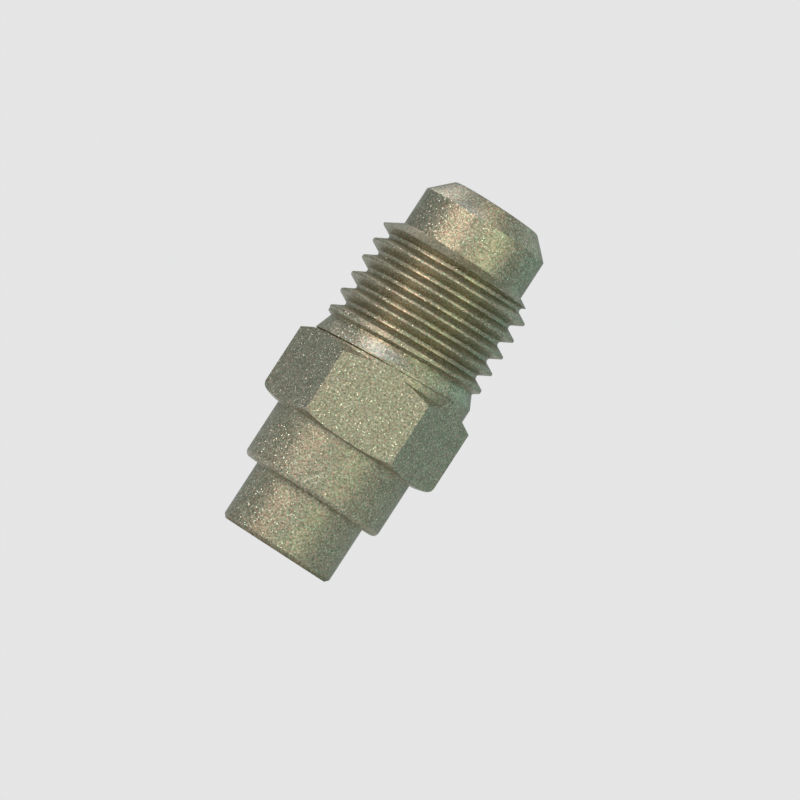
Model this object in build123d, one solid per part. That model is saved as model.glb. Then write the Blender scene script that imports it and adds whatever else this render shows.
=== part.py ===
from build123d import *
import math
import os

# Flare access fitting with a solder end, holding a screw-in valve core.
# Millimetres, +Z up towards the flare nose, origin at the middle of the
# spigot's end face.  The hexagon's corners point along +X and -X.

INCH = 25.4

# ---- outside of the fitting body ---------------------------------------
SPIGOT_WALL = 0.78
SPIGOT_L = 4.10
SPIGOT_CHAMFER = 0.24
COLLAR_STEP = 1.005
COLLAR_L = 4.02
COLLAR_EDGE_R = 0.40
HEX_AF = 7 / 16 * INCH
HEX_L = 5.28
HEX_TOP_ANGLE = 30.0
HEX_TOP_SEAT_D = 11.10
HEX_LOW_ANGLE = 24.0
HEX_LOW_SEAT_D = 10.75
NECK_L = 1.37
LAND_D = 11.06
THREAD_D = 11.11
THREAD_PITCH = INCH / 20
THREAD_DEPTH = 0.78
THREAD_CREST_FLAT = 0.18
THREAD_L = 7.23
LEAD_ANGLE = 30.0
PILOT_D = 8.86
PILOT_L = 2.70
CONE_ANGLE = 45.0
NOSE_RIM = 0.275
FLANK_ANGLE = 30.0

# ---- run-out groove between the thread and the hexagon ------------------
RUNOUT_RISE = 0.35
RUNOUT_SHALLOWER = 0.42
RUNOUT_FLOOR = 0.10
RUNOUT_UPPER_ANGLE = 30.0
RUNOUT_LOWER_ANGLE = 62.0
RUNOUT_OVERCUT = 0.03
THREAD_END_ANGLE = 20.0
THREAD_END_RISE = 0.305

# ---- solder socket ------------------------------------------------------
TUBE_D = INCH / 4
TUBE_CLEARANCE = 0.05
SOCKET_DEPTH = 6.50
SOCKET_CHAMFER = 0.15

# ---- valve core ---------------------------------------------------------
CORE_THREAD_D = 5.20
CORE_PITCH = INCH / 36
CORE_THREAD_DEPTH = 0.365
CORE_CREST_FLAT = 0.10
CORE_THREAD_CLEARANCE = 0.05
CORE_FLANK_CLEARANCE = 0.05
CORE_THREAD_L = 3.40
CORE_OVERCUT = 0.03
CORE_START_ANGLE = 77.0
CORE_RELIEF_L = 0.90
CORE_MOUTH_CLEARANCE = 0.05
CORE_MOUTH_CHAMFER = 0.15

PIN_TIP_BELOW_NOSE = 0.20
PIN_D = 1.00
PIN_CHAMFER = 0.15
PIN_GUIDE_CLEARANCE = 0.10

BRIDGE_BELOW_NOSE = 0.80
BRIDGE_L = 1.50
BRIDGE_STEP = 0.235
BRIDGE_CHEEK = 0.55
BRIDGE_WINDOW_W = 1.60
BRIDGE_ROOF_T = 0.55
PLUG_WALL = 0.785
SKIRT_STEP = 0.185
SKIRT_WALL = 0.35
SKIRT_L = 1.30
SKIRT_LIP_T = 0.35

SWIVEL_CLEARANCE = 0.05
FLANGE_LEDGE = 0.35
FLANGE_T = 0.50
CHAMBER_STEP = 0.06
BARREL_CLEARANCE = 0.375
BARREL_WALL = 0.45
BARREL_NECK_WALL = 0.35
BARREL_TOP_WALL = 0.30
BARREL_L = 8.00
BARREL_FLOOR_T = 1.30
BARREL_FLOOR_GAP = 0.35
RIM_MARGIN = 0.05
RIM_FLARE = 0.15
RIM_L = 0.35

GASKET_L = 1.50
GASKET_GROOVE_DEPTH = 0.15
GASKET_ABOVE_RIM = 4.00
GASKET_PROUD = 0.23
SEAT_GAP = 0.03
SEAT_ANGLE = 8.0
PASSAGE_STEP = 0.25

CUP_STEP = 0.15
CUP_L = 1.60
CUP_WALL = 0.25
SEAL_T = 0.90
SEAL_PROUD = 0.15

SPRING_WIRE_D = 0.25
SPRING_BORE_GAP = 0.10
SPRING_COILS = 6.5
SPRING_L = 5.20
SPRING_COLLAR_GAP = 0.08
SPRING_COLLAR_T = 0.50

# ---- radii --------------------------------------------------------------
R_TUBE = (TUBE_D + TUBE_CLEARANCE) / 2
R_SPIGOT = R_TUBE + SPIGOT_WALL
R_COLLAR = R_SPIGOT + COLLAR_STEP
R_THREAD = THREAD_D / 2
R_ROOT = R_THREAD - THREAD_DEPTH
R_PILOT = PILOT_D / 2
R_CORE_MAJOR = CORE_THREAD_D / 2
R_CORE_MINOR = R_CORE_MAJOR - CORE_THREAD_DEPTH
R_CHAMBER_MAJOR = R_CORE_MAJOR + CORE_THREAD_CLEARANCE
R_CHAMBER_MINOR = R_CORE_MINOR + CORE_THREAD_CLEARANCE
R_MOUTH = R_CHAMBER_MAJOR + CORE_MOUTH_CLEARANCE
R_NOSE = R_MOUTH + CORE_MOUTH_CHAMFER + NOSE_RIM
R_CHAMBER = R_CHAMBER_MINOR - CHAMBER_STEP
R_PASSAGE = R_CHAMBER - PASSAGE_STEP
R_BRIDGE = R_CORE_MINOR - BRIDGE_STEP
R_PLUG_BORE = R_CORE_MINOR - PLUG_WALL
R_SKIRT = R_CORE_MINOR - SKIRT_STEP
R_FLANGE = R_SKIRT - SKIRT_WALL - SWIVEL_CLEARANCE
R_BARREL_NECK = R_FLANGE - FLANGE_LEDGE
R_BARREL = R_CHAMBER - BARREL_CLEARANCE
R_BARREL_BORE = R_BARREL - BARREL_WALL
R_BARREL_MOUTH = R_BARREL_NECK - BARREL_NECK_WALL
R_GROOVE = R_BARREL - GASKET_GROOVE_DEPTH
R_GASKET = R_BARREL + GASKET_PROUD
R_PIN = PIN_D / 2
R_FLOOR_BORE = R_PIN + BARREL_FLOOR_GAP
R_CUP = R_BARREL - CUP_STEP
R_SEAL = R_CUP - CUP_WALL
R_RIM = R_SEAL - RIM_MARGIN
R_SPRING = R_BARREL_BORE - SPRING_BORE_GAP
R_SPRING_COLLAR = R_BARREL_BORE - SPRING_COLLAR_GAP
FLANK = math.tan(math.radians(FLANK_ANGLE))

# ---- heights along the axis ---------------------------------------------
Z_COLLAR = SPIGOT_L
Z_HEX = Z_COLLAR + COLLAR_L
Z_NECK = Z_HEX + HEX_L
Z_ROOT = Z_NECK + NECK_L
Z_LEAD_TOP = Z_ROOT + THREAD_L
Z_CONE = Z_LEAD_TOP + PILOT_L
CONE_H = (R_PILOT - R_NOSE) / math.tan(math.radians(CONE_ANGLE))
Z_NOSE = Z_CONE + CONE_H

Z_PIN_TIP = Z_NOSE - PIN_TIP_BELOW_NOSE
Z_PLUG_TOP = Z_NOSE - BRIDGE_BELOW_NOSE
Z_PLUG_THREAD_TOP = Z_PLUG_TOP - BRIDGE_L
Z_PLUG_THREAD_END = Z_PLUG_THREAD_TOP - CORE_THREAD_L
Z_SKIRT_END = Z_PLUG_THREAD_END - SKIRT_L
Z_FLANGE_LOW = Z_SKIRT_END + SKIRT_LIP_T + SWIVEL_CLEARANCE
Z_FLANGE_TOP = Z_FLANGE_LOW + FLANGE_T
Z_BARREL_TOP = Z_SKIRT_END - SWIVEL_CLEARANCE
Z_RIM = Z_BARREL_TOP - BARREL_L
Z_FLOOR_LOW = Z_RIM + RIM_L
Z_FLOOR_TOP = Z_FLOOR_LOW + BARREL_FLOOR_T
Z_SPRING_TOP = Z_FLOOR_TOP + SPRING_L
Z_GASKET = Z_RIM + GASKET_ABOVE_RIM
Z_GASKET_TOP = Z_GASKET + GASKET_L
Z_CUP = Z_RIM + SEAL_PROUD - CUP_L
Z_RELIEF = Z_PLUG_THREAD_END - CORE_PITCH - CORE_RELIEF_L / 2


def revolved(points):
    """Solid of revolution about Z from (radius, height) points."""
    face = make_face(Plane.XZ * Polyline(*points, close=True))
    return revolve(face, Axis.Z).solids()[0]


def helical_ridge(pitch, turns, r_low, w_low, r_high, w_high, z_mid, start=0.0):
    """Closed helical ridge with a trapezoid section, its middle at z_mid at the start angle.

    It is made turn by turn, so that no face goes round more than once.
    """
    count = math.ceil(turns)
    step = turns / count
    faces = []
    for k in range(count):
        def helix(radius, shift):
            edge = Edge.make_helix(pitch=pitch, height=pitch * step, radius=radius)
            return edge.rotate(Axis.Z, start + 360 * step * k).translate((0, 0, z_mid + shift + pitch * step * k))

        ring = [
            helix(r_low, -w_low / 2),
            helix(r_low, w_low / 2),
            helix(r_high, w_high / 2),
            helix(r_high, -w_high / 2),
        ]
        for i in range(4):
            faces.append(Face.make_surface_from_curves(ring[i], ring[(i + 1) % 4]))
        if k == 0:
            faces.append(Face(Wire.make_polygon([e @ 0 for e in ring], close=True)))
        if k == count - 1:
            faces.append(Face(Wire.make_polygon([e @ 1 for e in ring], close=True)))
    return Solid(Shell(faces))


# ---- fitting body -------------------------------------------------------
def body_blank():
    """Outer turned shape without hexagon: spigot, collar, neck, thread blank, pilot and cone."""
    lead_h = (R_THREAD - R_PILOT) * math.tan(math.radians(LEAD_ANGLE))
    return revolved([
        (0, 0),
        (R_SPIGOT - SPIGOT_CHAMFER, 0),
        (R_SPIGOT, SPIGOT_CHAMFER),
        (R_SPIGOT, Z_COLLAR),
        (R_COLLAR, Z_COLLAR),
        (R_COLLAR, Z_HEX),
        (LAND_D / 2, Z_HEX),
        (LAND_D / 2, Z_ROOT),
        (R_THREAD, Z_ROOT),
        (R_THREAD, Z_LEAD_TOP - lead_h),
        (R_PILOT, Z_LEAD_TOP),
        (R_PILOT, Z_CONE),
        (R_NOSE, Z_NOSE),
        (0, Z_NOSE),
    ])


def rounded_collar(blank):
    """Round the collar's lower edge."""
    edges = blank.edges().filter_by(GeomType.CIRCLE)
    edge = [e for e in edges if abs(e.radius - R_COLLAR) < 1e-6 and abs(e.center().Z - Z_COLLAR) < 1e-6]
    return blank.fillet(COLLAR_EDGE_R, edge)


def hexagon():
    """Hexagon prism with a turned chamfer on both ends."""
    across_corners = HEX_AF / math.cos(math.radians(30))
    prism = extrude(RegularPolygon(across_corners / 2, 6), HEX_L).translate((0, 0, Z_HEX))
    reach = across_corners
    top_drop = (reach - HEX_TOP_SEAT_D / 2) * math.tan(math.radians(HEX_TOP_ANGLE))
    low_rise = (reach - HEX_LOW_SEAT_D / 2) * math.tan(math.radians(HEX_LOW_ANGLE))
    spindle = revolved([
        (0, Z_HEX),
        (HEX_LOW_SEAT_D / 2, Z_HEX),
        (reach, Z_HEX + low_rise),
        (reach, max(Z_HEX + low_rise, Z_NECK - top_drop) + reach),
        (0, max(Z_HEX + low_rise, Z_NECK - top_drop) + reach),
    ])
    crown = revolved([
        (0, Z_HEX - reach),
        (reach, Z_HEX - reach),
        (reach, Z_NECK - top_drop),
        (HEX_TOP_SEAT_D / 2, Z_NECK),
        (0, Z_NECK),
    ])
    return (prism & spindle & crown).solids()[0]


def runout_groove():
    """Slanted ring groove in which the thread runs out beside the hexagon."""
    r_out = R_THREAD + RUNOUT_OVERCUT
    r_in = R_ROOT + RUNOUT_SHALLOWER
    upper = (r_out - r_in) * math.tan(math.radians(RUNOUT_UPPER_ANGLE))
    lower = (r_out - r_in) * math.tan(math.radians(RUNOUT_LOWER_ANGLE))
    ring = revolved([
        (r_in, 0),
        (r_in, RUNOUT_FLOOR),
        (r_out, RUNOUT_FLOOR + upper),
        (r_out, -lower),
    ])
    tilt = math.degrees(math.atan(RUNOUT_RISE / R_THREAD))
    return ring.rotate(Axis.Y, -tilt).translate((0, 0, Z_ROOT))


def thread_groove():
    """Right-hand groove of the outer thread, from the run-out groove to the lead chamfer."""
    root_flat = THREAD_PITCH - THREAD_CREST_FLAT - 2 * THREAD_DEPTH * FLANK
    r_out = R_THREAD + THREAD_CREST_FLAT / 4 / FLANK
    w_out = root_flat + 2 * (r_out - R_ROOT) * FLANK
    z_start = Z_ROOT + THREAD_END_RISE
    turns = (Z_LEAD_TOP + THREAD_PITCH / 2 - z_start) / THREAD_PITCH
    return helical_ridge(THREAD_PITCH, turns, R_ROOT, root_flat, r_out, w_out, z_start, THREAD_END_ANGLE)


def seat_height(radius):
    """Height on the body's tapered seat at a radius; it runs SEAT_GAP outside the gasket."""
    return Z_GASKET_TOP + (radius - R_GASKET - SEAT_GAP) / math.tan(math.radians(SEAT_ANGLE))


def body_bore():
    """Everything bored out of the body except the valve core's thread."""
    z_thread = Z_RELIEF + CORE_RELIEF_L
    return revolved([
        (0, -1),
        (R_TUBE + SOCKET_CHAMFER + 1, -1),
        (R_TUBE, SOCKET_CHAMFER),
        (R_TUBE, SOCKET_DEPTH),
        (R_PASSAGE, SOCKET_DEPTH),
        (R_PASSAGE, seat_height(R_PASSAGE)),
        (R_CHAMBER, seat_height(R_CHAMBER)),
        (R_CHAMBER, Z_RELIEF),
        (R_MOUTH, Z_RELIEF),
        (R_MOUTH, z_thread),
        (R_CHAMBER_MINOR, z_thread + (R_MOUTH - R_CHAMBER_MINOR)),
        (R_CHAMBER_MINOR, Z_PLUG_TOP - (R_MOUTH - R_CHAMBER_MINOR)),
        (R_MOUTH, Z_PLUG_TOP),
        (R_MOUTH, Z_NOSE - CORE_MOUTH_CHAMFER),
        (R_MOUTH + CORE_MOUTH_CHAMFER, Z_NOSE),
        (R_MOUTH + CORE_MOUTH_CHAMFER, Z_NOSE + 1),
        (0, Z_NOSE + 1),
    ])


def chamber_thread_cut():
    """Helical groove of the chamber's thread, from the relief groove out to the mouth."""
    crest = CORE_CREST_FLAT + 2 * CORE_FLANK_CLEARANCE
    r_in = R_CHAMBER_MINOR - CORE_OVERCUT
    w_in = crest + 2 * (R_CHAMBER_MAJOR - r_in) * FLANK
    z_start = Z_PLUG_THREAD_END - CORE_PITCH
    turns = (Z_PLUG_TOP - z_start) / CORE_PITCH + 1
    start = CORE_START_ANGLE
    return helical_ridge(CORE_PITCH, turns, r_in, w_in, R_CHAMBER_MAJOR, crest, z_start, start)


def make_fitting_body():
    body = rounded_collar(body_blank()) + hexagon()
    body = body - runout_groove()
    body = body - thread_groove()
    body = body - body_bore()
    body = body - chamber_thread_cut()
    return body.solids()[0]


# ---- valve core ---------------------------------------------------------
def make_core_plug():
    """Threaded head with a flatted bridge on top and a swivel skirt below."""
    edge = CORE_THREAD_DEPTH
    r_skirt_in = R_FLANGE + SWIVEL_CLEARANCE
    r_lip = R_BARREL_NECK + SWIVEL_CLEARANCE
    z_lip = Z_FLANGE_LOW - SWIVEL_CLEARANCE
    z_step = Z_FLANGE_TOP + SWIVEL_CLEARANCE
    body = revolved([
        (r_lip, Z_SKIRT_END),
        (R_SKIRT, Z_SKIRT_END),
        (R_SKIRT, Z_PLUG_THREAD_END),
        (R_CORE_MAJOR - edge, Z_PLUG_THREAD_END),
        (R_CORE_MAJOR, Z_PLUG_THREAD_END + edge),
        (R_CORE_MAJOR, Z_PLUG_THREAD_TOP - edge),
        (R_CORE_MAJOR - edge, Z_PLUG_THREAD_TOP),
        (R_BRIDGE, Z_PLUG_THREAD_TOP),
        (R_BRIDGE, Z_PLUG_TOP),
        (R_PLUG_BORE, Z_PLUG_TOP),
        (R_PLUG_BORE, z_step),
        (r_skirt_in, z_step),
        (r_skirt_in, z_lip),
        (r_lip, z_lip),
    ])
    roof = Cylinder(R_BRIDGE, BRIDGE_ROOF_T, align=(Align.CENTER, Align.CENTER, Align.MAX))
    body = body + roof.translate((0, 0, Z_PLUG_TOP))
    # two flats for the core key
    guide_r = R_PIN + PIN_GUIDE_CLEARANCE
    half_width = guide_r + BRIDGE_CHEEK
    side = 2 * R_BRIDGE
    cheek = Box(side, side, BRIDGE_L, align=(Align.CENTER, Align.MIN, Align.MIN))
    for turn in (0, 180):
        flat = cheek.translate((0, half_width, Z_PLUG_THREAD_TOP)).rotate(Axis.Z, turn)
        body = body - flat
    # side window under the bridge's roof and the pin's guide hole
    window_h = BRIDGE_L - BRIDGE_ROOF_T
    window = Box(BRIDGE_WINDOW_W, side, window_h, align=(Align.CENTER, Align.CENTER, Align.MIN))
    body = body - window.translate((0, 0, Z_PLUG_THREAD_TOP))
    guide = Cylinder(guide_r, 2 * BRIDGE_ROOF_T)
    body = body - guide.translate((0, 0, Z_PLUG_TOP - BRIDGE_ROOF_T / 2))
    # groove between the plug's thread turns: its ridges lie midway in the chamber's groove
    r_out = R_CORE_MAJOR + CORE_OVERCUT
    ridge_foot = CORE_CREST_FLAT + 2 * CORE_THREAD_DEPTH * FLANK
    w_in = CORE_PITCH - ridge_foot
    w_out = w_in + 2 * (r_out - R_CORE_MINOR) * FLANK
    z_start = Z_PLUG_THREAD_END - 1.5 * CORE_PITCH
    turns = CORE_THREAD_L / CORE_PITCH + 3
    groove = helical_ridge(CORE_PITCH, turns, R_CORE_MINOR, w_in, r_out, w_out, z_start, CORE_START_ANGLE)
    return (body - groove).solids()[0]


def make_core_barrel():
    """Tube with a swivel flange on top, a gasket groove outside and a sealing rim below."""
    return revolved([
        (R_FLOOR_BORE, Z_RIM),
        (R_RIM, Z_RIM),
        (R_RIM + RIM_FLARE, Z_FLOOR_LOW),
        (R_BARREL, Z_FLOOR_LOW),
        (R_BARREL, Z_GASKET),
        (R_GROOVE, Z_GASKET),
        (R_GROOVE, Z_GASKET_TOP),
        (R_BARREL, Z_GASKET_TOP),
        (R_BARREL, Z_BARREL_TOP),
        (R_BARREL_NECK, Z_BARREL_TOP),
        (R_BARREL_NECK, Z_FLANGE_LOW),
        (R_FLANGE, Z_FLANGE_LOW),
        (R_FLANGE, Z_FLANGE_TOP),
        (R_BARREL_MOUTH, Z_FLANGE_TOP),
        (R_BARREL_MOUTH, Z_BARREL_TOP - BARREL_TOP_WALL),
        (R_BARREL_BORE, Z_BARREL_TOP - BARREL_TOP_WALL),
        (R_BARREL_BORE, Z_FLOOR_TOP),
        (R_FLOOR_BORE, Z_FLOOR_TOP),
    ])


def make_barrel_gasket():
    """Tapered sealing ring in the barrel's groove."""
    r_low = R_GASKET - GASKET_L * math.tan(math.radians(SEAT_ANGLE))
    return revolved([
        (R_GROOVE, Z_GASKET),
        (r_low, Z_GASKET),
        (R_GASKET, Z_GASKET_TOP),
        (R_GROOVE, Z_GASKET_TOP),
    ])


def make_valve_pin():
    """Plain pin from the cup up to its chamfered tip inside the nose."""
    return revolved([
        (0, Z_CUP),
        (R_PIN, Z_CUP),
        (R_PIN, Z_PIN_TIP - PIN_CHAMFER),
        (R_PIN - PIN_CHAMFER, Z_PIN_TIP),
        (0, Z_PIN_TIP),
    ])


def make_spring_collar():
    """Ring fixed on the pin above the spring."""
    return revolved([
        (R_PIN, Z_SPRING_TOP),
        (R_SPRING_COLLAR, Z_SPRING_TOP),
        (R_SPRING_COLLAR, Z_SPRING_TOP + SPRING_COLLAR_T),
        (R_PIN, Z_SPRING_TOP + SPRING_COLLAR_T),
    ])


def make_poppet_cup():
    """Cup fixed on the pin's foot, open upwards."""
    z_seat = Z_RIM - SEAL_T
    z_rim = Z_RIM - SEAL_PROUD
    return revolved([
        (R_PIN, Z_CUP),
        (R_SEAL, Z_CUP),
        (R_CUP, Z_CUP + CUP_WALL),
        (R_CUP, z_rim),
        (R_SEAL, z_rim),
        (R_SEAL, z_seat),
        (R_PIN, z_seat),
    ])


def make_poppet_seal():
    """Rubber disc in the cup; its upper face closes on the barrel's rim."""
    return revolved([
        (R_PIN, Z_RIM - SEAL_T),
        (R_SEAL, Z_RIM - SEAL_T),
        (R_SEAL, Z_RIM),
        (R_PIN, Z_RIM),
    ])


def make_return_spring():
    """Open coil spring between the barrel's floor and the collar on the pin."""
    r_mid = R_SPRING - SPRING_WIRE_D / 2
    rise = SPRING_L - SPRING_WIRE_D
    path = Edge.make_helix(pitch=rise / SPRING_COILS, height=rise, radius=r_mid)
    path = path.translate((0, 0, Z_FLOOR_TOP + SPRING_WIRE_D / 2))
    wire = Plane(origin=path @ 0, z_dir=path % 0) * Circle(SPRING_WIRE_D / 2)
    return sweep(wire, path=path, is_frenet=True).solids()[0]


def write_part(name, shape):
    shape.label = name
    export_step(shape, os.path.join("parts", name + ".step"))


PARTS = {
    "fitting_body": make_fitting_body,
    "core_plug": make_core_plug,
    "core_barrel": make_core_barrel,
    "barrel_gasket": make_barrel_gasket,
    "valve_pin": make_valve_pin,
    "spring_collar": make_spring_collar,
    "return_spring": make_return_spring,
    "poppet_cup": make_poppet_cup,
    "poppet_seal": make_poppet_seal,
}

os.makedirs("parts", exist_ok=True)
for part_name, maker in PARTS.items():
    write_part(part_name, maker())
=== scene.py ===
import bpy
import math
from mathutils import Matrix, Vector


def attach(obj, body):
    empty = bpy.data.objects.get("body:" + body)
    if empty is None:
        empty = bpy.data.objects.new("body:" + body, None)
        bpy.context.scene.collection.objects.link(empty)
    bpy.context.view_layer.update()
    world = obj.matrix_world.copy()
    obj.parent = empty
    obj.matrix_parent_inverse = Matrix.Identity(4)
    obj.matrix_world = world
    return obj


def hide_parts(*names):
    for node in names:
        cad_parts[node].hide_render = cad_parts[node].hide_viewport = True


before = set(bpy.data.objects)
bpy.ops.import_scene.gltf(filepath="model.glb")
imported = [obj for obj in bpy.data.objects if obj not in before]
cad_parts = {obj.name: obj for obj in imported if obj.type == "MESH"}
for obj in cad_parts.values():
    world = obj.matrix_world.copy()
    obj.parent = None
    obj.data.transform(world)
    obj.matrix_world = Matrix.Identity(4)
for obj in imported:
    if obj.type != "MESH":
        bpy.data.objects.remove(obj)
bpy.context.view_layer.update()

# %% [markdown]
# # A flare access fitting in blasted brass
#
# The fitting is one turned and threaded brass body with a valve core screwed into its nose.
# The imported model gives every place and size. The body is modelled again here, because its looks
# depend on small things that an engineering solid leaves out: softened edges, rounded thread
# roots, the run-out of the thread and a scored line beside it. The valve core's own solids have
# the right shape already, so they stay and only get better materials.

MM = 0.001


def mm(*values):
    return tuple(v * MM for v in values)


def activate(obj):
    """Deselect everything, then select and activate one object."""
    if bpy.context.object and bpy.context.object.mode != "OBJECT":
        bpy.ops.object.mode_set(mode="OBJECT")
    bpy.ops.object.select_all(action="DESELECT")
    obj.select_set(True)
    bpy.context.view_layer.objects.active = obj


def count(obj):
    """Print the size of a mesh and how many of its edges don't join exactly two faces."""
    mesh = obj.data
    uses = {}
    for face in mesh.polygons:
        for key in face.edge_keys:
            uses[key] = uses.get(key, 0) + 1
    loose = sum(1 for n in uses.values() if n != 2)
    print(obj.name, len(mesh.vertices), "vertices", len(mesh.polygons), "faces", loose, "open edges")


# %% [markdown]
# ## Turned shapes
#
# A lathe makes every round surface of this object. The same thing is done here in edit mode:
# one circle is drawn at the first radius, and its edge loop is extruded and scaled from one
# radius and height to the next. It is better than a stack of cylinders, because one loop runs
# through chamfers and rounded edges without a seam. Every shape here is a ring: its outline ends
# where it began and is merged there.

# %% Lathe helpers
SEGMENTS = 256
RING_MERGE = 0.002


def arc(r_mid, z_mid, radius, start, end, steps):
    """Points of a rounded edge in the lathe's plane, angles in degrees."""
    points = []
    for i in range(steps + 1):
        a = math.radians(start + (end - start) * i / steps)
        points.append((r_mid + radius * math.cos(a), z_mid + radius * math.sin(a)))
    return points


def turned(name, points):
    """A turned ring with a closed outline of (radius, height) points in mm."""
    r, z = points[0]
    bpy.ops.object.select_all(action="DESELECT")
    bpy.ops.mesh.primitive_circle_add(vertices=SEGMENTS, radius=r * MM, location=mm(0, 0, z))
    obj = bpy.context.object
    obj.name = name
    bpy.ops.object.transform_apply(location=True, rotation=True, scale=True)
    bpy.ops.object.mode_set(mode="EDIT")
    bpy.ops.mesh.select_mode(type="EDGE")
    bpy.ops.mesh.select_all(action="SELECT")
    for next_r, next_z in points[1:] + points[:1]:
        step = {"value": mm(0, 0, next_z - z)}
        bpy.ops.mesh.extrude_edges_move(TRANSFORM_OT_translate=step)
        k = next_r / r
        bpy.ops.transform.resize(value=(k, k, 1), center_override=mm(0, 0, next_z))
        r, z = next_r, next_z
    bpy.ops.mesh.select_all(action="SELECT")
    bpy.ops.mesh.remove_doubles(threshold=RING_MERGE * MM)
    bpy.ops.mesh.select_all(action="SELECT")
    bpy.ops.mesh.normals_make_consistent(inside=False)
    bpy.ops.object.mode_set(mode="OBJECT")
    return obj


def combine(target, tool, operation):
    """Boolean with an exact solver; the tool is used up."""
    activate(target)
    mod = target.modifiers.new("cut", "BOOLEAN")
    mod.operation = operation
    mod.solver = "EXACT"
    mod.object = tool
    bpy.ops.object.modifier_apply(modifier=mod.name)
    bpy.data.objects.remove(tool)


# %% [markdown]
# ## Sizes
#
# Heights run from the spigot's end face at zero up to the nose. They are the sizes of the real
# connection: a 7/16-20 thread, a 45 degree flare and a 7/16 inch hexagon. Below the thread the neck
# has two radii: LAND_R where the thread ends, and NECK_SEAT_R on the land above the hexagon.

# %% Sizes in mm
SPIGOT_R = 3.98
SPIGOT_TOP = 4.10
COLLAR_R = 4.985
HEX_LOW = 8.12
HEX_TOP = 13.34
HEX_FLATS = 11.1125
HEX_EDGE_BREAK = 0.05
HEX_TOP_ANGLE = math.radians(30)
HEX_WALL_R = 4.60
LAND_R = 5.50
NECK_SEAT_R = 5.60
NECK_TOP = 14.60
THREAD_R = 5.55
THREAD_ROOT_R = 4.776
THREAD_PITCH = 1.27
RUNOUT_Z = 14.77
RUNOUT_RISE = 0.35
LEAD_LOW = 21.35
LEAD_TOP = 22.00
PILOT_R = 4.43
CONE_LOW = 24.70
NOSE_R = 3.125
NOSE_Z = 26.005
SOCKET_R = 3.20
SOCKET_DEPTH = 6.50
PASSAGE_R = 1.975
SEAT_LOW = 15.491
CHAMBER_R = 2.225
SEAT_TOP = 17.270
RELIEF_LOW = 19.15
RELIEF_TOP = 20.05
MOUTH_R = 2.70
CHAMBER_MINOR_R = 2.285
CHAMBER_MAJOR_R = 2.65
CHAMBER_PITCH = 0.7056
PLUG_TOP = 25.205
LAMP_AIM_Z = 16.0

# %% [markdown]
# ## Turned blank
#
# The bar is turned from the outside and drilled from both ends. Every outer corner has a small
# break, because blasting rounds them: those thin rounded edges are what catches the light. The
# collar's lower edge has a real radius and the spigot's end has a chamfer.

# %% Blank
outside = [(SPIGOT_R - 0.25, 0.0)]
outside += [(SPIGOT_R - 0.22, 0.015), (SPIGOT_R - 0.03, 0.22), (SPIGOT_R, 0.28)]
outside += [(SPIGOT_R, SPIGOT_TOP - 0.05), (SPIGOT_R + 0.05, SPIGOT_TOP)]
outside += arc(COLLAR_R - 0.40, SPIGOT_TOP + 0.40, 0.40, -90, 0, 8)
outside += [(COLLAR_R, HEX_LOW - 0.05), (COLLAR_R + 0.05, HEX_LOW + 0.01)]
outside += [(LAND_R, HEX_LOW + 0.3), (LAND_R, HEX_TOP), (LAND_R, 14.9), (THREAD_R, 15.0)]
outside += [(THREAD_R, LEAD_LOW), (PILOT_R + 0.03, LEAD_TOP), (PILOT_R, LEAD_TOP + 0.03)]
outside += [(PILOT_R, CONE_LOW - 0.03), (PILOT_R - 0.035, CONE_LOW + 0.035)]
outside += [(NOSE_R + 0.08, NOSE_Z - 0.09), (NOSE_R + 0.02, NOSE_Z - 0.04), (NOSE_R - 0.05, NOSE_Z)]
inside = [(MOUTH_R + 0.15, NOSE_Z), (MOUTH_R + 0.06, NOSE_Z - 0.05), (MOUTH_R, NOSE_Z - 0.17)]
inside += [(MOUTH_R, PLUG_TOP), (CHAMBER_MINOR_R, PLUG_TOP - 0.415)]
inside += [(CHAMBER_MINOR_R, RELIEF_TOP + 0.415), (MOUTH_R, RELIEF_TOP), (MOUTH_R, RELIEF_LOW)]
inside += [(CHAMBER_R, RELIEF_LOW), (CHAMBER_R, SEAT_TOP), (PASSAGE_R, SEAT_LOW)]
inside += [(PASSAGE_R, SOCKET_DEPTH), (SOCKET_R - 0.1, SOCKET_DEPTH - 0.01)]
inside += [(SOCKET_R, SOCKET_DEPTH - 0.12), (SOCKET_R, 0.18), (SOCKET_R + 0.15, 0.0)]
body = turned("fitting_body_shell", outside + inside)
count(body)

# %% [markdown]
# ## Hexagon
#
# The bar's own six flats are left standing and chamfered at both ends on the lathe. Here a six
# sided prism gets its long edges softened in edit mode, and is then intersected with a turned ring
# that is conical above and rounded below. The curved lines where the chamfers meet the flats come
# out by themselves. The ring's inner wall lies inside the metal, so the bore stays open.

# %% Hexagon
corner_r = HEX_FLATS / 2 / math.cos(math.radians(30))
bpy.ops.object.select_all(action="DESELECT")
bpy.ops.mesh.primitive_cylinder_add(
    vertices=6,
    radius=corner_r * MM,
    depth=(NECK_TOP - HEX_LOW) * MM,
    location=mm(0, 0, (NECK_TOP + HEX_LOW) / 2),
    rotation=(0, 0, math.radians(30)),
)
hexagon = bpy.context.object
hexagon.name = "hexagon_prism"
bpy.ops.object.transform_apply(location=True, rotation=True, scale=True)
for edge in hexagon.data.edges:
    a, b = (hexagon.data.vertices[i].co for i in edge.vertices)
    edge.select = abs(a.z - b.z) > MM
for face in hexagon.data.polygons:
    face.select = False
bpy.ops.object.mode_set(mode="EDIT")
bpy.ops.mesh.select_mode(type="EDGE")
bpy.ops.mesh.bevel(offset=HEX_EDGE_BREAK * MM, segments=3, profile=0.5)
bpy.ops.object.mode_set(mode="OBJECT")
low_edge = [(5.30, 0.0), (5.52, 0.05), (5.80, 0.12), (5.98, 0.18), (6.13, 0.25)]
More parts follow.
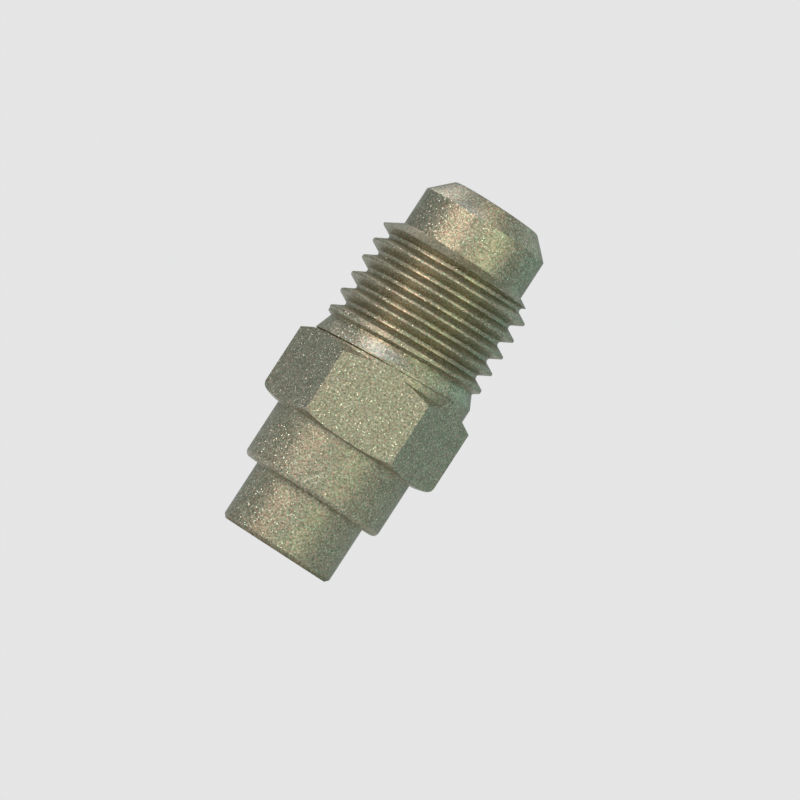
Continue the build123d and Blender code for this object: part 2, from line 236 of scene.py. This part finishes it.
low_edge += [(6.23, 0.32), (6.32, 0.41), (6.37, 0.52), (6.41, 0.68), (6.45, 0.92)]
outer_r = corner_r + 0.6
cones = [(HEX_WALL_R, HEX_LOW - 0.1), (5.26, HEX_LOW - 0.1)]
cones += [(r, HEX_LOW + rise) for r, rise in low_edge]
cones += [(outer_r, HEX_LOW + 2.0)]
cones += [(outer_r, HEX_TOP - (outer_r - NECK_SEAT_R) * math.tan(HEX_TOP_ANGLE))]
cones += [(NECK_SEAT_R, HEX_TOP)]
cones += [(NECK_SEAT_R, NECK_TOP + 0.1), (HEX_WALL_R, NECK_TOP + 0.1)]
double_cone = turned("double_cone", cones)
count(double_cone)
combine(hexagon, double_cone, "INTERSECT")
combine(body, hexagon, "UNION")
count(body)

# %% [markdown]
# ## Thread
#
# The thread is cut with a pointed tool that moves one pitch along the axis for each turn. The
# tool's outline is drawn once as a closed loop: 30 degree flanks, a rounded root and a small
# flare at its mouth, which leaves narrow rounded crests. A Screw modifier carries it round the
# axis, its ends are filled, and it is cut from the blank. A displaced surface would give soft,
# shallow ridges in place of real flanks.

# %% Thread tools
def coil_tool(name, outline, pitch, turns, z_start, angle_start, steps=128):
    """A closed outline of (radius, height) points carried along a right-hand helix."""
    mesh = bpy.data.meshes.new(name)
    obj = bpy.data.objects.new(name, mesh)
    bpy.context.scene.collection.objects.link(obj)
    corners = [mm(r, 0, z) for r, z in outline]
    n = len(corners)
    mesh.from_pydata(corners, [(i, (i + 1) % n) for i in range(n)], [])
    activate(obj)
    mod = obj.modifiers.new("coil", "SCREW")
    mod.axis = "Z"
    mod.angle = 2 * math.pi * turns
    mod.screw_offset = pitch * turns * MM
    mod.iterations = 1
    mod.steps = int(steps * turns)
    mod.render_steps = mod.steps
    mod.use_smooth_shade = False
    bpy.ops.object.modifier_apply(modifier=mod.name)
    bpy.ops.object.mode_set(mode="EDIT")
    bpy.ops.mesh.select_all(action="SELECT")
    bpy.ops.mesh.fill_holes(sides=0)
    bpy.ops.mesh.select_all(action="SELECT")
    bpy.ops.mesh.normals_make_consistent(inside=False)
    start = -math.radians(angle_start)
    bpy.ops.transform.rotate(value=start, orient_axis="Z", center_override=(0, 0, 0))
    bpy.ops.transform.translate(value=mm(0, 0, z_start))
    bpy.ops.object.mode_set(mode="OBJECT")
    return obj


flank = math.tan(math.radians(30))
CREST = 0.13
half_mouth = (THREAD_PITCH - CREST) / 2
half_root = half_mouth - (THREAD_R - THREAD_ROOT_R) * flank
groove = [(THREAD_R + 0.06, half_mouth + 0.02), (THREAD_R, half_mouth)]
groove += [(THREAD_R - 0.05, half_mouth - 0.05)]
groove += [(THREAD_ROOT_R + 0.07, half_root + 0.04), (THREAD_ROOT_R + 0.02, half_root - 0.02)]
groove += [(THREAD_ROOT_R, half_root - 0.09)]
groove += [(r, -z) for r, z in reversed(groove)]
THREAD_START = 15.075
turns = (LEAD_TOP + 0.635 - THREAD_START) / THREAD_PITCH
thread_tool = coil_tool("thread_tool", groove, THREAD_PITCH, turns, THREAD_START, 20.0)
count(thread_tool)
lowest = min(thread_tool.data.vertices, key=lambda v: v.co.z).co
print("lowest point of the thread tool:", [round(c / MM, 2) for c in lowest])

# %% [markdown]
# Beside the hexagon the tool leaves the metal. The last groove is shallower there and its lower
# side opens into a long cone, slanted like the thread itself. A ring groove with that outline,
# tilted by the thread's rise over half a turn, gives the same line across the front. A second ring
# cuts the right half of the cone a little deeper, as the tool did on its way out, and a third one
# with a sharp tip scores a line just below the cone's lip. Each ring is closed before it cuts:
# an open one would spoil the next cut, so the open edges are printed every time.

# %% Run-out and scored line
RUNOUT_R = 5.20
RUNOUT_OUT_R = 5.80
CONE_FROM_AXIS = math.radians(24)
tilt = math.atan(RUNOUT_RISE / THREAD_R)
cone_drop = (NECK_SEAT_R - RUNOUT_R) / math.tan(CONE_FROM_AXIS)
full_drop = (RUNOUT_OUT_R - RUNOUT_R) / math.tan(CONE_FROM_AXIS)
ring = [(RUNOUT_R, 0.06), (RUNOUT_R - 0.012, 0.10), (RUNOUT_R + 0.02, 0.14)]
ring += [(RUNOUT_OUT_R, 0.14 + (RUNOUT_OUT_R - RUNOUT_R - 0.02) * flank)]
ring += [(RUNOUT_OUT_R, -full_drop)]
runout = turned("runout_tool", ring)
LINE_BELOW_LIP = 0.17
LINE_R = 5.53
z_line = -cone_drop - LINE_BELOW_LIP
score = turned("score_tool", [
    (LINE_R, z_line),
    (NECK_SEAT_R + 0.10, z_line + 0.085),
    (NECK_SEAT_R + 0.10, z_line - 0.06),
])
STEP_DEPTH = 0.05
STEP_ANGLE = math.radians(285)
step = turned("step_tool", [
    (RUNOUT_R - STEP_DEPTH, 0.09),
    (RUNOUT_R + 0.10, 0.09),
    (RUNOUT_OUT_R, -full_drop + 0.10),
    (RUNOUT_OUT_R, -full_drop - STEP_DEPTH * 2.4),
])
HALF_CUBE = 10.0
bpy.ops.object.select_all(action="DESELECT")
bpy.ops.mesh.primitive_cube_add(
    size=2 * HALF_CUBE * MM,
    location=mm(-HALF_CUBE * math.sin(STEP_ANGLE), HALF_CUBE * math.cos(STEP_ANGLE), 0),
    rotation=(0, 0, STEP_ANGLE),
)
right_half = bpy.context.object
bpy.ops.object.transform_apply(location=True, rotation=True, scale=True)
combine(step, right_half, "INTERSECT")
for tool in (runout, score, step):
    activate(tool)
    bpy.ops.object.mode_set(mode="EDIT")
    bpy.ops.mesh.select_all(action="SELECT")
    bpy.ops.transform.rotate(value=tilt, orient_axis="Y", center_override=(0, 0, 0))
    bpy.ops.transform.translate(value=mm(0, 0, RUNOUT_Z))
    bpy.ops.object.mode_set(mode="OBJECT")
right = max(runout.data.vertices, key=lambda v: v.co.x).co
print("run-out tool on the +X side at height", round(right.z / MM, 3))
for tool in (runout, thread_tool, step, score):
    count(tool)
    combine(body, tool, "DIFFERENCE")
    count(body)

# %% [markdown]
# The chamber's own thread is a finer one, 36 turns to the inch. It shows as dark rings inside
# the nose, so it is cut the same way, from the relief groove out through the mouth.

# %% Chamber thread
half_root_flat = 0.10
chamber_depth = CHAMBER_MAJOR_R - CHAMBER_MINOR_R + 0.03
chamber_groove = [(CHAMBER_MINOR_R - 0.03, half_root_flat + chamber_depth * flank)]
chamber_groove += [(CHAMBER_MAJOR_R, half_root_flat)]
chamber_groove += [(r, -z) for r, z in reversed(chamber_groove)]
chamber_start = 19.5995
chamber_turns = (PLUG_TOP - chamber_start) / CHAMBER_PITCH + 1
chamber_tool = coil_tool(
    "chamber_tool", chamber_groove, CHAMBER_PITCH, chamber_turns, chamber_start, 77.0, 96
)
combine(body, chamber_tool, "DIFFERENCE")
count(body)

# %% [markdown]
# The finished shell is shaded smooth across small angles and stays crisp at real edges. The lip
# below the run-out breaks by only 24 degrees, so the limit is set lower than that.

# %% Smooth shading
activate(body)
bpy.ops.object.mode_set(mode="EDIT")
bpy.ops.mesh.select_all(action="SELECT")
bpy.ops.mesh.remove_doubles(threshold=0.0008 * MM)
bpy.ops.mesh.dissolve_degenerate(threshold=0.0005 * MM)
bpy.ops.mesh.normals_make_consistent(inside=False)
bpy.ops.object.mode_set(mode="OBJECT")
SMOOTH_BELOW = math.radians(19)
bpy.ops.object.shade_smooth_by_angle(angle=SMOOTH_BELOW)
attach(body, "fitting_body")
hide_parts("fitting_body")
count(body)

# %% [markdown]
# ## Blasted brass
#
# The body was blasted with fine grit after machining. The surface is a dull olive tan with
# thousands of tiny flecks, where a facet of a pit happens to mirror a lamp. Here each fleck's facet
# is tilted and smoother, and its glint is also painted in as a paler colour. The grain group makes
# five outputs from the object's own coordinates: a fine pitted height, a soft patchy tone, the
# flecks, a slow drift of hue, and the tilt of each fleck's facet. The material uses them in its own
# shader.

# %% Grain node group
def make_group(name, inputs, outputs):
    tree = bpy.data.node_groups.new(name, "ShaderNodeTree")
    for label, kind, value in inputs:
        socket = tree.interface.new_socket(name=label, in_out="INPUT", socket_type=kind)
        if value is not None:
            socket.default_value = value
    for label, kind in outputs:
        tree.interface.new_socket(name=label, in_out="OUTPUT", socket_type=kind)
    return tree, tree.nodes.new("NodeGroupInput"), tree.nodes.new("NodeGroupOutput")


def math_node(tree, operation, a, b=None):
    node = tree.nodes.new("ShaderNodeMath")
    node.operation = operation
    for i, value in enumerate((a, b)):
        if value is None:
            continue
        if isinstance(value, (int, float)):
            node.inputs[i].default_value = value
        else:
            tree.links.new(value, node.inputs[i])
    return node.outputs[0]


def noise(tree, vector, scale, detail=2.0, roughness=0.5):
    node = tree.nodes.new("ShaderNodeTexNoise")
    node.inputs["Detail"].default_value = detail
    node.inputs["Roughness"].default_value = roughness
    tree.links.new(vector, node.inputs["Vector"])
    if isinstance(scale, (int, float)):
        node.inputs["Scale"].default_value = scale
    else:
        tree.links.new(scale, node.inputs["Scale"])
    return node.outputs["Fac"]


def map_range(tree, value, low, high, to_low=0.0, to_high=1.0):
    node = tree.nodes.new("ShaderNodeMapRange")
    node.inputs["From Min"].default_value = low
    node.inputs["From Max"].default_value = high
    node.inputs["To Min"].default_value = to_low
    node.inputs["To Max"].default_value = to_high
    tree.links.new(value, node.inputs["Value"])
    return node.outputs["Result"]


grain, g_in, g_out = make_group(
    "blasted_grain",
    [
        ("Vector", "NodeSocketVector", None),
        ("Pit Scale", "NodeSocketFloat", 7000.0),
        ("Fleck Share", "NodeSocketFloat", 0.11),
    ],
    [
        ("Height", "NodeSocketFloat"),
        ("Tone", "NodeSocketFloat"),
        ("Fleck", "NodeSocketFloat"),
        ("Hue", "NodeSocketFloat"),
        ("Facet", "NodeSocketVector"),
    ],
)
PATCH_SCALE = 900.0
FLECK_SCALE = 11500.0
HUE_SCALE = 11000.0
pits = noise(grain, g_in.outputs["Vector"], g_in.outputs["Pit Scale"], 3.0, 0.6)
coarse = noise(grain, g_in.outputs["Vector"], PATCH_SCALE, 4.0, 0.55)
cells = grain.nodes.new("ShaderNodeTexVoronoi")
cells.inputs["Scale"].default_value = FLECK_SCALE
grain.links.new(g_in.outputs["Vector"], cells.inputs["Vector"])
split = grain.nodes.new("ShaderNodeSeparateColor")
grain.links.new(cells.outputs["Color"], split.inputs["Color"])
threshold = math_node(grain, "SUBTRACT", 1.0, g_in.outputs["Fleck Share"])
chosen = math_node(grain, "GREATER_THAN", split.outputs["Red"], threshold)
near = map_range(grain, cells.outputs["Distance"], 0.25, 0.55, 1.0, 0.0)
fleck = math_node(grain, "MULTIPLY", chosen, near)
grain.links.new(pits, g_out.inputs["Height"])
grain.links.new(coarse, g_out.inputs["Tone"])
grain.links.new(fleck, g_out.inputs["Fleck"])
grain.links.new(noise(grain, g_in.outputs["Vector"], HUE_SCALE, 1.0, 0.5), g_out.inputs["Hue"])
centred = grain.nodes.new("ShaderNodeVectorMath")
centred.operation = "SUBTRACT"
centred.inputs[1].default_value = (0.5, 0.5, 0.5)
grain.links.new(cells.outputs["Color"], centred.inputs[0])
tilted = grain.nodes.new("ShaderNodeVectorMath")
tilted.operation = "SCALE"
grain.links.new(centred.outputs["Vector"], tilted.inputs[0])
grain.links.new(fleck, tilted.inputs["Scale"])
grain.links.new(tilted.outputs["Vector"], g_out.inputs["Facet"])
print("grain group nodes:", len(grain.nodes))


# %% Material helper
def new_material(name):
    mat = bpy.data.materials.new(name)
    mat.use_nodes = True
    tree = mat.node_tree
    shader = tree.nodes["Principled BSDF"]
    coords = tree.nodes.new("ShaderNodeTexCoord")
    return mat, tree, shader, coords.outputs["Object"]


def ramp(tree, value, stops):
    node = tree.nodes.new("ShaderNodeValToRGB")
    elements = node.color_ramp.elements
    while len(elements) < len(stops):
        elements.new(0.5)
    for element, (position, colour) in zip(elements, stops):
        element.position = position
        element.color = (*colour, 1.0)
    tree.links.new(value, node.inputs["Fac"])
    return node.outputs["Color"]


def mix_colour(tree, factor, a, b, blend="MIX"):
    node = tree.nodes.new("ShaderNodeMix")
    node.data_type = "RGBA"
    node.blend_type = blend
    for label, value in (("Factor", factor), ("A", a), ("B", b)):
        socket = node.inputs[label]
        if isinstance(value, (int, float)):
            socket.default_value = value
        elif isinstance(value, tuple):
            socket.default_value = (*value, 1.0)
        else:
            tree.links.new(value, socket)
    return node.outputs["Result"]


def bump(tree, height, strength, distance, normal=None):
    node = tree.nodes.new("ShaderNodeBump")
    node.inputs["Strength"].default_value = strength
    node.inputs["Distance"].default_value = distance
    tree.links.new(height, node.inputs["Height"])
    if normal is not None:
        tree.links.new(normal, node.inputs["Normal"])
    return node.outputs["Normal"]


# %% [markdown]
# A few handling scratches are on the front: a forked one on the collar and short ones on the
# hexagon. One group draws a soft straight mark at a given place, angle and length on the front
# face, broken up by noise, and the body's material uses it once for each scratch.

# %% Scratch group
SCRATCH_INPUTS = ("Centre X", "Centre Z", "Angle", "Length", "Width")
scratch, s_in, s_out = make_group(
    "light_scratch",
    [("Vector", "NodeSocketVector", None)]
    + [(label, "NodeSocketFloat", 0.0) for label in SCRATCH_INPUTS],
    [("Mask", "NodeSocketFloat")],
)
place = scratch.nodes.new("ShaderNodeSeparateXYZ")
scratch.links.new(s_in.outputs["Vector"], place.inputs["Vector"])
dx = math_node(scratch, "SUBTRACT", place.outputs["X"], s_in.outputs["Centre X"])
dz = math_node(scratch, "SUBTRACT", place.outputs["Z"], s_in.outputs["Centre Z"])
cosine = math_node(scratch, "COSINE", s_in.outputs["Angle"])
sine = math_node(scratch, "SINE", s_in.outputs["Angle"])
along_x = math_node(scratch, "MULTIPLY", dx, cosine)
along_z = math_node(scratch, "MULTIPLY", dz, sine)
along = math_node(scratch, "ADD", along_x, along_z)
across_z = math_node(scratch, "MULTIPLY", dz, cosine)
across_x = math_node(scratch, "MULTIPLY", dx, sine)
across = math_node(scratch, "SUBTRACT", across_z, across_x)
WANDER_SCALE = 1800.0
WANDER_WIDTH = 0.2 * MM
drift = math_node(scratch, "SUBTRACT", noise(scratch, s_in.outputs["Vector"], WANDER_SCALE), 0.5)
wander = math_node(scratch, "MULTIPLY", drift, WANDER_WIDTH)
off_line = math_node(scratch, "ABSOLUTE", math_node(scratch, "ADD", across, wander))
off_centre = math_node(scratch, "ABSOLUTE", along)
width_share = math_node(scratch, "DIVIDE", off_line, s_in.outputs["Width"])
length_share = math_node(scratch, "DIVIDE", off_centre, s_in.outputs["Length"])
thin = map_range(scratch, math_node(scratch, "SUBTRACT", 1.0, width_share), 0.0, 0.5)
short = map_range(scratch, math_node(scratch, "SUBTRACT", 1.0, length_share), 0.0, 0.3)
body_of_mark = math_node(scratch, "MULTIPLY", thin, short)
front_only = math_node(scratch, "LESS_THAN", place.outputs["Y"], 0.0)
BREAK_SCALE = 9000.0
broken = map_range(scratch, noise(scratch, s_in.outputs["Vector"], BREAK_SCALE), 0.35, 0.6, 0.15, 1.0)
mark_in_front = math_node(scratch, "MULTIPLY", body_of_mark, front_only)
mark = math_node(scratch, "MULTIPLY", mark_in_front, broken)
scratch.links.new(mark, s_out.inputs["Mask"])
print("scratch group nodes:", len(scratch.nodes))

# %% [markdown]
# The body's colour is a patchy olive brass, multiplied by painted shade and sparkle from the pits
# and by a drift between greenish and pinkish. The brass is bright enough to carry light from flank
# to flank, so the thread's grooves stay warm. Flecks are smoother than the rest, each has its normal
# turned a little, and their paler colour is a painted glint.
# Every scratch is a row of place, angle, half length and half width in metres.

# %% Body material
FACET_TILT = 1.0
TONES = [(0.30, (0.325, 0.305, 0.225)), (0.52, (0.355, 0.333, 0.248)), (0.72, (0.385, 0.362, 0.272))]
# Pit colour: painted shade, darker in the pits, and painted sparkle, paler on the grain between them.
PIT_SHADE_AND_SPARKLE = [(0.30, (0.48, 0.48, 0.48)), (0.50, (0.97, 0.97, 0.97)), (0.68, (1.50, 1.48, 1.46))]
HUES = [(0.34, (0.78, 1.08, 1.00)), (0.50, (1.0, 1.0, 1.0)), (0.66, (1.30, 0.95, 1.0))]
# Painted glint colours: flecks are paler than the brass, standing in for facets that mirror a lamp.
PAINTED_GLINT_HUES = [(0.35, (0.84, 1.0, 0.84)), (0.5, (1.0, 0.94, 0.76)), (0.65, (1.0, 0.78, 0.74))]
SCRATCH_TONE = (0.70, 0.66, 0.53)
DULL_ROUGHNESS = 0.40
FLECK_ROUGHNESS = 0.30
PIT_DEPTH = 0.00003
SCRATCHES = [
    (-0.00045, 0.00515, math.radians(57), 0.00085, 0.00007),
    (-0.00015, 0.00500, math.radians(40), 0.00035, 0.00005),
    (-0.00110, 0.01010, math.radians(62), 0.00045, 0.00004),
    (0.00060, 0.00960, math.radians(-35), 0.00035, 0.00004),
]
brass, tree, shader, position = new_material("blasted_brass")
masks = tree.nodes.new("ShaderNodeGroup")
masks.node_tree = grain
tree.links.new(position, masks.inputs["Vector"])
tone = ramp(tree, masks.outputs["Tone"], TONES)
# The pit height also paints the colour: painted shade in the pits, painted sparkle on the grain
# between them.
pit_shade_and_sparkle = ramp(tree, masks.outputs["Height"], PIT_SHADE_AND_SPARKLE)
hue = ramp(tree, masks.outputs["Hue"], HUES)
base = mix_colour(tree, 1.0, tone, pit_shade_and_sparkle, "MULTIPLY")
base = mix_colour(tree, 1.0, base, hue, "MULTIPLY")
# Painted glint: each fleck gets a pale colour besides its tilted, smoother facet.
painted_glint_colour = ramp(tree, masks.outputs["Hue"], PAINTED_GLINT_HUES)
colour = mix_colour(tree, masks.outputs["Fleck"], base, painted_glint_colour)
scratches = None
for centre_x, centre_z, angle, length, width in SCRATCHES:
    one = tree.nodes.new("ShaderNodeGroup")
    one.node_tree = scratch
    tree.links.new(position, one.inputs["Vector"])
    for label, value in zip(SCRATCH_INPUTS, (centre_x, centre_z, angle, length, width)):
        one.inputs[label].default_value = value
    if scratches is None:
        scratches = one.outputs["Mask"]
    else:
        scratches = math_node(tree, "MAXIMUM", scratches, one.outputs["Mask"])
colour = mix_colour(tree, scratches, colour, SCRATCH_TONE)
tree.links.new(colour, shader.inputs["Base Color"])
shader.inputs["Metallic"].default_value = 1.0
rough = map_range(tree, masks.outputs["Fleck"], 0.0, 1.0, DULL_ROUGHNESS, FLECK_ROUGHNESS)
tree.links.new(rough, shader.inputs["Roughness"])
dented = bump(tree, masks.outputs["Height"], 0.8, PIT_DEPTH)
turned_facet = tree.nodes.new("ShaderNodeVectorMath")
turned_facet.operation = "MULTIPLY_ADD"
turned_facet.inputs[1].default_value = (FACET_TILT, FACET_TILT, FACET_TILT)
tree.links.new(masks.outputs["Facet"], turned_facet.inputs[0])
tree.links.new(dented, turned_facet.inputs[2])
straight = tree.nodes.new("ShaderNodeVectorMath")
straight.operation = "NORMALIZE"
tree.links.new(turned_facet.outputs["Vector"], straight.inputs[0])
tree.links.new(straight.outputs["Vector"], shader.inputs["Normal"])
body.data.materials.clear()
body.data.materials.append(brass)

# %% [markdown]
# ## The valve core's materials
#
# The core was turned on an automatic lathe and never blasted, so its brass is bright and shows
# fine rings round the axis. The rings come from noise that is stretched flat across the axis. The
# spring is drawn steel wire, the barrel's gasket is a waxy white plastic ring and the poppet's
# seal is black rubber. Those three share a group of fine grain and scattered spots.

# %% Turning marks and fine grain
marks, m_in, m_out = make_group(
    "turning_marks",
    [("Vector", "NodeSocketVector", None), ("Ring Scale", "NodeSocketFloat", 9000.0)],
    [("Height", "NodeSocketFloat"), ("Tone", "NodeSocketFloat")],
)
stretch = marks.nodes.new("ShaderNodeCombineXYZ")
stretch.inputs["X"].default_value = 350.0
stretch.inputs["Y"].default_value = 350.0
marks.links.new(m_in.outputs["Ring Scale"], stretch.inputs["Z"])
squeezed = marks.nodes.new("ShaderNodeVectorMath")
squeezed.operation = "MULTIPLY"
marks.links.new(m_in.outputs["Vector"], squeezed.inputs[0])
marks.links.new(stretch.outputs["Vector"], squeezed.inputs[1])
marks.links.new(noise(marks, squeezed.outputs["Vector"], 1.0, 2.0, 0.6), m_out.inputs["Height"])
marks.links.new(noise(marks, m_in.outputs["Vector"], 1500.0, 3.0, 0.5), m_out.inputs["Tone"])

fine, f_in, f_out = make_group(
    "fine_grain",
    [("Vector", "NodeSocketVector", None), ("Grain Scale", "NodeSocketFloat", 8000.0)],
    [("Height", "NodeSocketFloat"), ("Spot", "NodeSocketFloat")],
)
spots = fine.nodes.new("ShaderNodeTexVoronoi")
spots.inputs["Scale"].default_value = 4000.0
fine.links.new(f_in.outputs["Vector"], spots.inputs["Vector"])
fine_height = noise(fine, f_in.outputs["Vector"], f_in.outputs["Grain Scale"], 3.0, 0.6)
fine.links.new(fine_height, f_out.inputs["Height"])
spot = map_range(fine, spots.outputs["Distance"], 0.10, 0.35, 1.0, 0.0)
fine.links.new(spot, f_out.inputs["Spot"])


# %% Core materials
RING_SHADES = [(0.30, (0.80, 0.80, 0.80)), (0.70, (1.0, 1.0, 1.0))]


def turned_metal(name, dark, light, ring_scale, roughness):
    """Bright lathe-turned metal with rings round the axis."""
    mat, tree, shader, position = new_material(name)
    masks = tree.nodes.new("ShaderNodeGroup")
    masks.node_tree = marks
    masks.inputs["Ring Scale"].default_value = ring_scale
    tree.links.new(position, masks.inputs["Vector"])
    tint = ramp(tree, masks.outputs["Tone"], [(0.35, dark), (0.65, light)])
    rings = ramp(tree, masks.outputs["Height"], RING_SHADES)
    tree.links.new(mix_colour(tree, 1.0, tint, rings, "MULTIPLY"), shader.inputs["Base Color"])
    shader.inputs["Metallic"].default_value = 1.0
    rough = map_range(tree, masks.outputs["Height"], 0.3, 0.7, roughness + 0.08, roughness - 0.04)
    tree.links.new(rough, shader.inputs["Roughness"])
    tree.links.new(bump(tree, masks.outputs["Height"], 0.5, 0.00002), shader.inputs["Normal"])
    return mat


def grained(name, base, spot, metallic, roughness, grain_scale, coat=0.0):
    """Wire, plastic or rubber with fine grain and scattered spots."""
    mat, tree, shader, position = new_material(name)
    masks = tree.nodes.new("ShaderNodeGroup")
    masks.node_tree = fine
    masks.inputs["Grain Scale"].default_value = grain_scale
    tree.links.new(position, masks.inputs["Vector"])
    grey = ramp(tree, masks.outputs["Height"], [(0.3, tuple(0.85 * v for v in base)), (0.7, base)])
    share = math_node(tree, "MULTIPLY", masks.outputs["Spot"], 0.5)
    tree.links.new(mix_colour(tree, share, grey, spot), shader.inputs["Base Color"])
    shader.inputs["Metallic"].default_value = metallic
    shader.inputs["Coat Weight"].default_value = coat
    rough = map_range(tree, masks.outputs["Height"], 0.3, 0.7, roughness + 0.06, roughness - 0.06)
    tree.links.new(rough, shader.inputs["Roughness"])
    tree.links.new(bump(tree, masks.outputs["Height"], 0.4, 0.00002), shader.inputs["Normal"])
    return mat


plug_brass = turned_metal("plug_brass", (0.62, 0.45, 0.20), (0.74, 0.56, 0.28), 9000.0, 0.28)
barrel_brass = turned_metal("barrel_brass", (0.58, 0.42, 0.19), (0.70, 0.53, 0.27), 7000.0, 0.32)
pin_brass = turned_metal("pin_brass", (0.66, 0.50, 0.24), (0.78, 0.60, 0.32), 12000.0, 0.22)
wire_steel = grained("wire_steel", (0.52, 0.52, 0.53), (0.36, 0.35, 0.34), 1.0, 0.30, 12000.0)
waxy_plastic = grained(
    "waxy_plastic", (0.82, 0.81, 0.76), (0.70, 0.68, 0.60), 0.0, 0.38, 6000.0, 0.2
)
seal_rubber = grained(
    "black_rubber", (0.022, 0.022, 0.023), (0.045, 0.044, 0.042), 0.0, 0.68, 9000.0
)
finishes = {
    "core_plug": plug_brass,
    "core_barrel": barrel_brass,
    "poppet_cup": barrel_brass,
    "valve_pin": pin_brass,
    "spring_collar": pin_brass,
    "return_spring": wire_steel,
    "barrel_gasket": waxy_plastic,
    "poppet_seal": seal_rubber,
}
for node, mat in finishes.items():
    for material_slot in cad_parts[node].material_slots:
        material_slot.material = mat
    print(node, "wears", mat.name)

# %% [markdown]
# ## Stage, light and camera
#
# The floor is pale and one-sided: seen from below it lets the view through. The camera is level
# with the fitting's foot and rolled, so the fitting leans as it does when it is propped on its
# rim. A warm soft lamp on the left front is the strongest. A yellower one on the right front and a
# wide one in front fill the flats. Small lamps above light the nose and its cone, and the pale
# room gives the rest. The room is darker and bluer below, which shades the undersides.

# %% Stage
TILT = math.radians(33.0)
picture_up = Vector((-math.sin(TILT), 0, math.cos(TILT)))

bpy.ops.object.select_all(action="DESELECT")
bpy.ops.mesh.primitive_plane_add(size=2.0, location=(0, 0, 0))
floor = bpy.context.object
floor.name = "floor"
paper, tree, shader, position = new_material("pale_floor")
shader.inputs["Base Color"].default_value = (0.80, 0.80, 0.80, 1.0)
shader.inputs["Roughness"].default_value = 0.9
clear = tree.nodes.new("ShaderNodeBsdfTransparent")
geometry = tree.nodes.new("ShaderNodeNewGeometry")
choose = tree.nodes.new("ShaderNodeMixShader")
tree.links.new(geometry.outputs["Backfacing"], choose.inputs["Fac"])
tree.links.new(shader.outputs["BSDF"], choose.inputs[1])
tree.links.new(clear.outputs["BSDF"], choose.inputs[2])
tree.links.new(choose.outputs["Shader"], tree.nodes["Material Output"].inputs["Surface"])
floor.data.materials.append(paper)

scene = bpy.context.scene
scene.view_settings.view_transform = "Standard"
world = bpy.data.worlds.new("studio")
scene.world = world
world.use_nodes = True
wt = world.node_tree
wt.nodes.clear()
seen = wt.nodes.new("ShaderNodeBackground")
seen.inputs["Color"].default_value = (0.785, 0.785, 0.79, 1.0)
felt = wt.nodes.new("ShaderNodeBackground")
felt.inputs["Color"].default_value = (0.844, 0.997, 1, 1.0)
felt.inputs["Strength"].default_value = 0.391
below = wt.nodes.new("ShaderNodeBackground")
below.inputs["Color"].default_value = (0.35, 0.78, 0.95, 1.0)
below.inputs["Strength"].default_value = 0.14
direction_in = wt.nodes.new("ShaderNodeTexCoord")
parts = wt.nodes.new("ShaderNodeSeparateXYZ")
wt.links.new(direction_in.outputs["Generated"], parts.inputs["Vector"])
height = map_range(wt, parts.outputs["Z"], -0.60, -0.10)
around = wt.nodes.new("ShaderNodeMixShader")
wt.links.new(height, around.inputs["Fac"])
wt.links.new(below.outputs["Background"], around.inputs[1])
wt.links.new(felt.outputs["Background"], around.inputs[2])
path = wt.nodes.new("ShaderNodeLightPath")
mixer = wt.nodes.new("ShaderNodeMixShader")
out = wt.nodes.new("ShaderNodeOutputWorld")
wt.links.new(path.outputs["Is Camera Ray"], mixer.inputs["Fac"])
wt.links.new(around.outputs["Shader"], mixer.inputs[1])
wt.links.new(seen.outputs["Background"], mixer.inputs[2])
wt.links.new(mixer.outputs["Shader"], out.inputs["Surface"])


def softbox(name, direction, distance, size, power, colour):
    """A square area lamp aimed at the fitting's middle, distances in mm."""
    data = bpy.data.lights.new(name, "AREA")
    data.size = size * MM
    data.energy = power
    data.color = colour
    lamp = bpy.data.objects.new(name, data)
    scene.collection.objects.link(lamp)
    middle = Vector(mm(0, 0, LAMP_AIM_Z))
    lamp.location = middle + direction.normalized() * distance * MM
    lamp.visible_camera = False
    lamp.rotation_euler = (middle - lamp.location).to_track_quat("-Z", "Y").to_euler()
    return lamp


# Each row: name, direction, distance, size, power in watts, colour.
LAMPS = [
    ("key_left", (-0.656, -0.755, 0.40), 200, 90, 0.161, (1.0, 0.82, 0.689)),
    ("key_right", (0.515, -0.857, 0.36), 200, 110, 0.086, (0.965, 1.0, 0.674)),
    ("front", (0.0, -1.0, 0.20), 300, 160, 0.053, (0.925, 1.0, 0.83)),
    ("rim_right", (0.87, 0.45, 0.35), 150, 80, 0.009, (0.333, 1.0, 0.889)),
    ("nose_left", (-0.45, -0.5, 0.80), 160, 60, 0.054, (0.463, 0.611, 1.0)),
    ("nose_right", (0.75, -0.3, 0.70), 160, 70, 0.015, (0.733, 1.0, 0.8)),
    ("above", (-0.05, -0.12, 1.0), 150, 60, 0.02, (1.0, 0.8, 0.6)),
    ("right_high", (0.55, 0.5, 0.66), 150, 70, 0.008, (0.875, 1.0, 1.0)),
    ("left_high", (-0.65, 0.4, 0.66), 150, 70, 0.037, (1.0, 0.919, 0.973)),
]
for name, direction, distance, size, power, colour in LAMPS:
    softbox(name, Vector(direction), distance, size, power, colour)

# %% Camera
camera_data = bpy.data.cameras.new("camera")
camera_data.sensor_width = 36
camera_data.lens = 299.5
camera_data.clip_start = 0.01
camera_data.clip_end = 10
camera = bpy.data.objects.new("camera", camera_data)
scene.collection.objects.link(camera)
eye = Vector(mm(0, -425, -0.5))
aim = Vector(mm(1.49, 0, 12.38))
look = (aim - eye).normalized()
side = look.cross(picture_up).normalized()
up = side.cross(look)
rotation = Matrix((side, up, -look)).transposed()
camera.matrix_world = Matrix.Translation(eye) @ rotation.to_4x4()
scene.camera = camera
